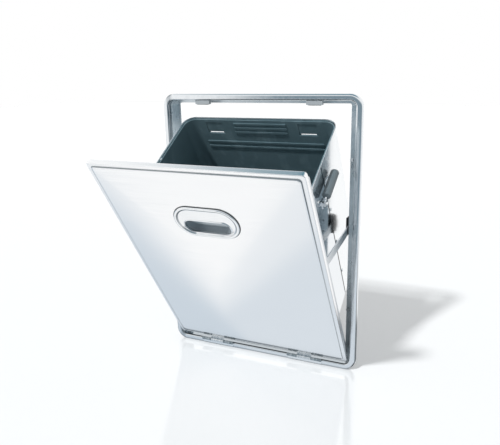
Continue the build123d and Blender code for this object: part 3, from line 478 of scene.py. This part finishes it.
def hinge_finish(name, dark, pale):
    """A ribbed hinge finish: narrow bands along the hinge drift between two greys and stand up a little, and
    below the knuckles the leaf is pale."""
    finish, tree, shader = new_finish(name, Metallic=1.0)
    ribs = noise(tree, 150.0, detail=2.0, scale=(1.0, 0.02, 0.02))
    ribbed = tint(tree, spread(tree, ribs, 0.0, 1.0), dark, pale)
    on_leaf = fade(tree, own_place(tree)["Z"], KNUCKLE_FOOT, LEAF_TOP)
    coat(tree, shader, tint(tree, on_leaf, ribbed, LEAF_PALE), spread(tree, ribs, 0.16, 0.30), ribs,
         strength=0.25, distance=0.0004)
    return finish


plated = hinge_finish("plated_hinge", dark=(0.20, 0.245, 0.27), pale=(0.48, 0.53, 0.56))
pale_knuckle = hinge_finish("pale_knuckle", dark=(0.62, 0.665, 0.695), pale=(0.82, 0.85, 0.87))

# %% [markdown]
# ## Dull steel of the cup
# The cup behind the finger slot is deep drawn and left dull. Drawing marks run down its sides.

# %% Dull steel
dull, tree, shader = new_finish("dull_steel", Metallic=1.0)
drawn = noise(tree, 140.0, detail=4.0, scale=(1.0, 0.2, 0.2))
coat(tree, shader, tint(tree, drawn, (0.80, 0.85, 0.885), (0.86, 0.90, 0.93)),
     spread(tree, drawn, 0.42, 0.52), drawn, strength=0.06, distance=0.00004)

# %% [markdown]
# ## Liner plastic
# The liner is a moulded tub in dark blue-green plastic with a gloss skin. Slow ripples from the mould bend
# its reflections, and a fine grain takes the edge off the gloss. Paler streaks that run up the tub, which
# leans with the door, are painted sheen that stands in for soft reflections in its gloss.

# %% Liner plastic
tub, tree, shader = new_finish("liner_plastic", Specular_IOR_Level=0.5)
ripple = noise(tree, 11.0, detail=1.5)
grain = noise(tree, 700.0)
# Painted sheen: pale streaks up the tub, added to the ripples' own slight change of tone.
painted_sheen_streaks = noise(tree, 34.0, detail=2.5, scale=(1.0, 1.0, 0.06), turn=(-LEAN, 0.0, 0.0))
streak = combine(tree, "ADD", spread(tree, ripple, 0.0, 0.25),
                 spread(tree, painted_sheen_streaks, 0.0, 0.55, start=0.52, end=0.66))
coat(tree, shader, tint(tree, streak, (0.130, 0.207, 0.238), (0.205, 0.300, 0.338)),
     spread(tree, grain, 0.06, 0.13), ripple, strength=0.30, distance=0.0012)

# %% [markdown]
# ## Small plastics and rubber
# The stay guides are black nylon, the grips a soft dark grey, the catch bodies pale grey, the magnets near
# black and the bumpers rubber. They share one recipe: a base colour that drifts slightly, a moulded grain
# and a roughness of their own, so one function makes them all.

# %% Small plastics and rubber
GRAIN_DEEP, ROUGH_DRIFT = 0.00012, 0.07


def moulded(name, dark, pale, rough, grain_size=420.0):
    """A moulded finish: colour drifts between dark and pale, and a fine grain lifts the surface."""
    finish, tree, shader = new_finish(name)
    drift = noise(tree, 24.0)
    pimples = noise(tree, grain_size, detail=4.0)
    coat(tree, shader, tint(tree, drift, dark, pale),
         spread(tree, pimples, rough - ROUGH_DRIFT, rough + ROUGH_DRIFT), pimples, 0.30, GRAIN_DEEP)
    return finish


nylon = moulded("black_nylon", (0.022, 0.026, 0.029), (0.038, 0.044, 0.048), rough=0.42)
soft_grip = moulded("soft_grip", (0.135, 0.170, 0.190), (0.180, 0.220, 0.240), rough=0.44, grain_size=300.0)
pale_plastic = moulded("pale_plastic", (0.40, 0.44, 0.465), (0.50, 0.54, 0.565), rough=0.38)
ferrite = moulded("ferrite", (0.012, 0.013, 0.014), (0.030, 0.031, 0.033), rough=0.55, grain_size=600.0)
rubber = moulded("bumper_rubber", (0.42, 0.46, 0.49), (0.52, 0.56, 0.59), rough=0.55, grain_size=500.0)

# %% [markdown]
# ## Finishes on the solids
# Each solid takes the finish of the real piece. The list goes by the start of a node's name, because the
# left and right pieces are alike, and the first start that fits counts.

# %% Finishes on the solids
FINISH_OF = [
    ("face_trim", buffed), ("jamb_sleeve", shaded), ("stop_lip", shaded), ("door_skin", satin),
    ("door_inner_pan", mill), ("pull_bezel", bright), ("pull_cup", dull), ("hinge_door_leaf", pale_knuckle),
    ("hinge_", plated), ("catch_housing", pale_plastic), ("catch_magnet", ferrite), ("catch_strike", mill),
    ("lip_bumpers", rubber), ("stay_guide", nylon), ("stay_stop", nylon), ("stay_arm", mill),
    ("stay_bracket", mill), ("stay_pivot_pin", bright), ("guide_screws", bright), ("bin_tray", mill),
    ("tray_gusset", mill), ("tray_rivets", bright), ("bin_front_shell", polished),
    ("bin_back_shell", brushed), ("bin_base", mill), ("bin_rim", bright), ("seam_strip", nylon),
    ("seam_rivets", bright), ("liner", tub), ("bail_lugs", bright), ("bail_grip", soft_grip),
    ("bail_", bright),
]
for name, node in frame["nodes"].items():
    finish = next(finish for start, finish in FINISH_OF if name.startswith(start))
    node.data.materials.clear()
    node.data.materials.append(finish)
print("dressed", len(frame["nodes"]), "solids")

# %% [markdown]
# ## Surfaces from arrays
# New pieces are grids of points worked out at once. A helper turns such a grid into a mesh: neighbouring
# points make a quad, and a grid may close on itself one way round. Several copies of a form go in one mesh.
# Points that fall together, as at the middle of a dome, are merged, so that the mesh is closed.

# %% Surface helpers
MERGE_WITHIN = 1e-6


def grid_quads(first, second, copies, round_first, round_second, turn_over):
    """Corner numbers of the quads of equal grids: each cell joins a point, the next one along either way and
    the one beyond both, and a grid that goes round gets its first row or column again at its end."""
    index = np.arange(first * second).reshape(first, second)
    index = np.concatenate([index, index[:1]], axis=0) if round_first else index
    index = np.concatenate([index, index[:, :1]], axis=1) if round_second else index
    quads = np.stack([index[:-1, :-1], index[1:, :-1], index[1:, 1:], index[:-1, 1:]], axis=-1).reshape(-1, 4)
    quads = quads[:, ::-1] if turn_over else quads
    return (quads[None] + np.arange(copies)[:, None, None] * first * second).reshape(-1, 4)


def surface(name, points, finish, body, slot, round_first=False, round_second=False, turn_over=False):
    """A mesh from points[..., first, second, xyz]: each cell of the grid is a quad, and each copy is a grid."""
    grids = points.reshape(-1, *points.shape[-3:])
    copies, first, second = grids.shape[:3]
    quads = grid_quads(first, second, copies, round_first, round_second, turn_over)
    mesh = bpy.data.meshes.new(name)
    mesh.vertices.add(copies * first * second)
    mesh.vertices.foreach_set("co", grids.astype(np.float32).ravel())
    mesh.loops.add(quads.size)
    mesh.loops.foreach_set("vertex_index", quads.astype(np.int32).ravel())
    mesh.polygons.add(len(quads))
    mesh.polygons.foreach_set("loop_start", np.arange(0, quads.size, 4, dtype=np.int32))
    mesh.update(calc_edges=True)
    joined = bmesh.new()
    joined.from_mesh(mesh)
    bmesh.ops.remove_doubles(joined, verts=joined.verts[:], dist=MERGE_WITHIN)
    joined.to_mesh(mesh)
    joined.free()
    mesh.shade_smooth()
    mesh.materials.append(finish)
    piece = bpy.data.objects.new(name, mesh)
    bpy.context.scene.collection.objects.link(piece)
    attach(piece, body)
    print(name, "quads", len(quads))
    return piece


def thicken(piece, thickness):
    """Give a sheet its thickness, behind the points that were worked out."""
    sheet = piece.modifiers.new("sheet", "SOLIDIFY")
    sheet.thickness = thickness
    sheet.offset = -1.0


def mark_points(piece, name, values):
    """Write one number for each point of a piece, for its finish to read."""
    piece.data.attributes.new(name, "FLOAT", "POINT").data.foreach_set("value", values.ravel())


print("surface helpers", [helper.__name__ for helper in (grid_quads, surface, thicken, mark_points)])

# %% [markdown]
# ## Outlines of the door
# The face is one pressed sheet: a raised middle inside a flat border, rolled over at its edge, folded back
# and hemmed, with an oval hole for the pull. It could be cut from a plane with a boolean, which leaves a
# ragged mesh. Here every ring of points runs once round the door, from the hole out to the edge and back under
# the hem, so the mesh follows the form. The rings start from four outlines with the same number of points.

# %% Outlines of the door


def rounded_outline(half_wide, half_tall, corner, arc_steps=9, run_steps=56):
    """Points and outward directions round a rounded rectangle: corner k is an arc about the k-th inner corner,
    and a straight run of evenly spaced points joins each arc's end to the next arc's start."""
    angle = np.arange(4)[:, None] * np.pi / 2 + np.linspace(0.0, np.pi / 2, arc_steps)
    out = np.stack([np.cos(angle), np.sin(angle)], axis=-1)
    centre = np.array([[1, 1], [-1, 1], [-1, -1], [1, -1]]) * (half_wide - corner, half_tall - corner)
    arcs = centre[:, None] + corner * out
    part = np.linspace(0.0, 1.0, run_steps + 2)[None, 1:-1, None]
    runs = arcs[:, -1:] + (np.roll(arcs[:, :1], -1, axis=0) - arcs[:, -1:]) * part
    run_out = np.repeat(out[:, -1:], run_steps, axis=1)
    points = np.concatenate([arcs, runs], axis=1).reshape(-1, 2)
    return points, np.concatenate([out, run_out], axis=1).reshape(-1, 2)


def oval_towards(points, length, height):
    """Where rays from the oval's middle to the points cross it: the oval is two half circles and two runs.
    The crossing lies on a straight run if it is within the runs' length, and otherwise on an end's circle."""
    way = points / np.linalg.norm(points, axis=1, keepdims=True)
    radius, straight = height / 2, (length - height) / 2
    flat = np.abs(way[:, 1]) * straight >= np.abs(way[:, 0]) * radius
    along_run = radius / np.maximum(np.abs(way[:, 1]), 1e-9)
    middle = straight * np.abs(way[:, 0])
    along_end = middle + np.sqrt(np.maximum(middle ** 2 - straight ** 2 + radius ** 2, 0.0))
    return way * np.where(flat, along_run, along_end)[:, None]


BORDER, HEM, HEM_TOP = 0.009, 0.007, 0.026
CORNER, HEM_CORNER = 0.007, 0.003
HALF_WIDE, HALF_TALL = DOOR_WIDE / 2, DOOR_TALL / 2
edge, edge_out = rounded_outline(HALF_WIDE, HALF_TALL, CORNER)
panel, panel_out = rounded_outline(HALF_WIDE - BORDER, HALF_TALL - BORDER, CORNER)
hem = rounded_outline(HALF_WIDE - HEM, (DOOR_TALL - HEM - HEM_TOP) / 2, HEM_CORNER)[0]
hem = hem + (0.0, (HEM - HEM_TOP) / 2)
PULL_UP, HOLE_LONG, HOLE_HIGH = 0.480, 0.131, 0.067
pull_offset = np.array([0.0, PULL_UP - HALF_TALL])
hole = oval_towards(panel - pull_offset, HOLE_LONG, HOLE_HIGH) + pull_offset
print("door outline points", len(edge))

# %% [markdown]
# ## Raised middle of the door
# The middle stands out by a small step and is creased very slightly from corner to corner, as sheet workers
# stiffen a large panel. The crease is what makes the door's greys change from side to side. The rings of the
# face blend from the hole's outline to the panel's, and those of the step go down as half a wave.

# %% Raised middle
CREASE_RISE, STEP, STEP_IN, STEP_OUT = 0.0045, 0.0024, 0.0005, 0.0004


def crease_rise(across, up):
    """How far the creased middle stands out: it falls in a straight slope from the middle to each side, so the
    four slopes meet in two creases from corner to corner."""
    aside, above = np.abs(across) / (HALF_WIDE - BORDER), np.abs(up) / (HALF_TALL - BORDER)
    return CREASE_RISE * np.clip(1.0 - np.maximum(aside, above), 0.0, None)


part = np.linspace(0.0, 1.0, 48)[:, None, None]
face = hole + (panel - STEP_IN * panel_out - hole) * part
face_behind = -crease_rise(face[..., 0], face[..., 1])
step_part = np.linspace(0.0, 1.0, 8)[1:, None]
step = panel + (step_part * (STEP_IN + STEP_OUT) - STEP_IN)[..., None] * panel_out
step_behind = STEP * (1 - np.cos(np.pi * step_part)) / 2
print("face rings", len(face), "step rings", len(step))

# %% [markdown]
# ## Border, fold and hem of the door
# Outside the step the sheet runs flat to its edge, rolls over, goes back and turns in as a hem. Each ring is
# the edge's outline drawn in by an inset, at its own depth behind the face.

# %% Border, fold and hem
ROLL, BACK_ROLL, FOLD_FROM, FOLD_DEEP, FOLD_RINGS = 0.0015, 0.0008, 0.003, 0.014, 4
border_part = np.linspace(0.0, 1.0, 6)[1:, None, None]
border = step[-1] + (edge - ROLL * edge_out - step[-1]) * border_part
border_behind = np.full((len(border), 1), STEP)
bend = np.linspace(0.0, np.pi / 2, 8)[1:, None]
back_bend = np.linspace(0.0, np.pi / 2, 5)[1:, None]
fold_inset = np.concatenate([ROLL * (1 - np.sin(bend)), np.zeros((FOLD_RINGS, 1)),
                             BACK_ROLL * (1 - np.cos(back_bend))])
fold_behind = np.concatenate([STEP + ROLL * (1 - np.cos(bend)),
                              np.linspace(STEP + FOLD_FROM, FOLD_DEEP - BACK_ROLL, FOLD_RINGS)[:, None],
                              FOLD_DEEP - BACK_ROLL * (1 - np.sin(back_bend))])
fold = edge - fold_inset[..., None] * edge_out
hem_part = np.linspace(0.0, 1.0, 5)[1:, None, None]
hem_rings = fold[-1] + (hem - fold[-1]) * hem_part
hem_behind = np.full((len(hem_rings), 1), FOLD_DEEP)
print("border, fold and hem rings", len(border), len(fold), len(hem_rings))

# %% [markdown]
# ## Door skin
# All rings go into one grid, which closes round the door. The step's rings are marked for the painted shade
# in the satin finish, and Solidify gives the sheet its thickness, so only one side has to be worked out.

# %% Door skin
SKIN_THICK = 0.0009
rings = np.concatenate([face, step, border, fold, hem_rings])
ring_depths = [face_behind, step_behind, border_behind, fold_behind, hem_behind]
behind = np.concatenate([np.broadcast_to(depth, (len(depth), len(edge))) for depth in ring_depths])
skin_points = on_door(rings[..., 0], rings[..., 1] + HALF_TALL, behind)
door_face = surface("door_face", skin_points, satin, "door", "satin_steel", round_second=True)
step_rings = np.zeros(rings.shape[:2], dtype=np.float32)
step_rings[len(face):len(face) + len(step)] = 1.0
mark_points(door_face, "in_step", step_rings)
thicken(door_face, SKIN_THICK)
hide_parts("door_skin")

# %% [markdown]
# ## Outlines of the pull
# The pull is one pressed plate: a rounded raised ring, a flat dish inside it, and a finger slot with a rolled
# edge that turns down into the cup. The ring is an oval and the slot a smaller oval lower down. Two short lists
# give the section of each: how far every ring of points is drawn in, and how high it stands.

# %% Outlines of the pull
PULL_LONG, PULL_HIGH = 0.148, 0.084
SLOT_LONG, SLOT_HIGH, SLOT_DROP = 0.106, 0.033, 0.013
DISH_HEIGHT = 0.0007
ring_inset = np.array([0.0, 0.0, 0.0003, 0.0010, 0.0020, 0.0034, 0.0047, 0.0058, 0.0069, 0.0081, 0.0092,
                       0.0101, 0.0112])
ring_height = np.array([0.0, 0.0018, 0.0027, 0.0034, 0.0037, 0.0038, 0.0036, 0.0031, 0.0024, 0.0016, 0.0010,
                        0.0008, DISH_HEIGHT])
slot_inset = np.array([0.0040, 0.0026, 0.0017, 0.0012, 0.0007, 0.0003, 0.0, 0.0, 0.0, 0.0])
slot_height = np.array([DISH_HEIGHT, 0.0009, 0.0015, 0.0023, 0.0027, 0.0028, 0.0025, 0.0019, 0.0010, -0.0025])
oval_turn = np.linspace(0.0, 2 * np.pi, 176, endpoint=False)
way_round = np.stack([np.cos(oval_turn), np.sin(oval_turn)], axis=1) * (0.060, 0.030)


def oval_rings(length, height, inset):
    """Rings round an oval, each made smaller all round by its inset."""
    return np.array([oval_towards(way_round, length - 2 * i, height - 2 * i) for i in inset])


def on_pull(points, height):
    """Places round the pull's middle as points of the room, as high above the creased face as height says."""
    across, up = points[..., 0], points[..., 1] + PULL_UP
    return on_door(across, up, -height[:, None] - crease_rise(across, up - HALF_TALL))


print("points round the pull", len(way_round))

# %% [markdown]
# ## Pull plate
# The plate blends from the raised ring to the slot, with the dish between them. It could be cut from the door's
# sheet, but the real one is a piece of its own that is set into the hole, and its rings follow the ovals.

# %% Pull plate
PLATE_THICK, GROOVE_RINGS = 0.0007, slice(7, 10)
outer = oval_rings(PULL_LONG, PULL_HIGH, ring_inset)
inner = oval_rings(SLOT_LONG, SLOT_HIGH, -slot_inset) - (0.0, SLOT_DROP)
dish_part = np.linspace(0.0, 1.0, 8)[1:-1, None, None]
dish = outer[-1] + (inner[0] - outer[-1]) * dish_part
plate = np.concatenate([outer, dish, inner])
plate_height = np.concatenate([ring_height, np.full(len(dish), DISH_HEIGHT), slot_height])
pull_plate = surface("pull_plate", on_pull(plate, plate_height), bright, "door", "polished_steel",
                     round_second=True, turn_over=True)
# The groove rings are marked for the painted shade of the bright finish, most at the top.
groove_rings = np.zeros(plate.shape[:2], dtype=np.float32)
groove_rings[GROOVE_RINGS] = np.clip(0.60 + 0.60 * np.sin(oval_turn), 0.0, 1.0)
mark_points(pull_plate, "in_groove", groove_rings)
thicken(pull_plate, PLATE_THICK)
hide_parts("pull_bezel")

# %% [markdown]
# ## Dark bead round the pull
# A thin dark bead round the ring is painted shade: a dark piece put where there is only the shade line
# between the pull and the door. It is a half round section carried once along the oval. A bevelled curve
# would do as well, but the ring's own oval is already at hand as points.

# %% Dark bead round the pull
# Painted shade: a dark half round bead along the ring's outer edge.
SHADE_BEAD, SHADE_BEAD_FLAT = 0.0017, 0.8
bead_turn = np.linspace(0.0, np.pi, 9)
bead = oval_rings(PULL_LONG, PULL_HIGH, -SHADE_BEAD * np.cos(bead_turn))
bead_height = SHADE_BEAD_FLAT * SHADE_BEAD * np.sin(bead_turn)
surface("pull_shade_bead", on_pull(bead, bead_height), nylon, "door", "black_plastic", round_first=True,
        round_second=True, turn_over=True)

# %% [markdown]
# ## Domed heads
# The seams and the tray are held with domed rivets, and the guides with cross-head screws. Each is a little
# dome worked out on rings round its middle. The cross is pressed down where a point is near either of two
# lines. A sphere cut in half would do for the rivets, but not for the cross.

# %% Domed heads
CROSS_HALF_WIDE, CROSS_REACH, ROUNDNESS = 0.13, 0.62, 0.75


def heads(places, up_way, side_way, radius, height, cross=0.0):
    """Domes on rings: rho runs from the flat foot's middle out to the rim and back to the top's middle, and the
    height falls off as a circle's arc does. Where cross is not 0, the top is lowered by it near two lines."""
    rho = np.concatenate([[0.0, 1.0], np.linspace(1.0, 0.0, 12)])[:, None]
    turn = np.linspace(0.0, 2 * np.pi, 32, endpoint=False)[None, :]
    along, beside = rho * np.cos(turn), rho * np.sin(turn)
    on_top = np.arange(len(rho))[:, None] > 1
    near_line = np.minimum(np.abs(along), np.abs(beside)) < CROSS_HALF_WIDE
    dome = np.sqrt(np.clip(1.0 - ROUNDNESS * rho ** 2, 0.0, None)) * height
    rise = on_top * dome - cross * (near_line & (rho < CROSS_REACH) & on_top)
    third_way = np.cross(up_way, side_way)
    local = radius * (along[..., None] * side_way + beside[..., None] * third_way) + rise[..., None] * up_way
    return np.asarray(places)[:, None, None, :] + local


def head_piece(name, body, points):
    """One mesh of bright heads that rides on a body."""
    return surface(name, points, bright, body, "polished_steel", round_second=True, turn_over=True)


print("share of a dome's height that is left at its rim", math.sqrt(1.0 - ROUNDNESS))

# %% [markdown]
# ## Rivets and screws
# All heads of one kind go into one mesh, at the places of the plain solids that they replace. The seam's
# rivets face out to either side, the tray's face into the door, and the guides' screws face the wall.

# %% Rivets and screws
RIVET_RADIUS, SEAM_RIVET_TALL, TRAY_RIVET_TALL = 0.004, 0.0024, 0.0014
BIN_SIDE, SEAM_UP, SEAM_BEHIND = 0.1965, np.array([0.353, 0.243, 0.133]), 0.182
seam_left = head_piece("seam_rivet_heads_left", "bin", heads(
    on_door(-BIN_SIDE, SEAM_UP, SEAM_BEHIND), -ACROSS, UP_DOOR, RIVET_RADIUS, SEAM_RIVET_TALL))
head_piece("seam_rivet_heads_right", "bin", heads(
    on_door(BIN_SIDE, SEAM_UP, SEAM_BEHIND), ACROSS, UP_DOOR, RIVET_RADIUS, SEAM_RIVET_TALL))
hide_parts("seam_rivets")
TRAY_ACROSS, TRAY_UP, TRAY_BEHIND = np.array([-0.165, -0.055, 0.055, 0.165]), 0.0302, 0.0295
tray_heads = head_piece("tray_rivet_heads", "door", heads(
    on_door(TRAY_ACROSS, TRAY_UP, TRAY_BEHIND), INTO_DOOR, ACROSS, RIVET_RADIUS, TRAY_RIVET_TALL))
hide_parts("tray_rivets")
SCREW_SIDE, SCREW_BACK, SCREW_UP = 0.2335, 0.0222, (0.3455, 0.3735)
SCREW_RADIUS, SCREW_TALL, CROSS_DEEP = 0.00375, 0.002, 0.0009
screw_places = np.array([(x, SCREW_BACK, z) for x in (-SCREW_SIDE, SCREW_SIDE) for z in SCREW_UP])
screw_heads = head_piece("guide_screw_heads", "frame", heads(
    screw_places, np.array([0.0, 1.0, 0.0]), ACROSS, SCREW_RADIUS, SCREW_TALL, CROSS_DEEP))
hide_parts("guide_screws")
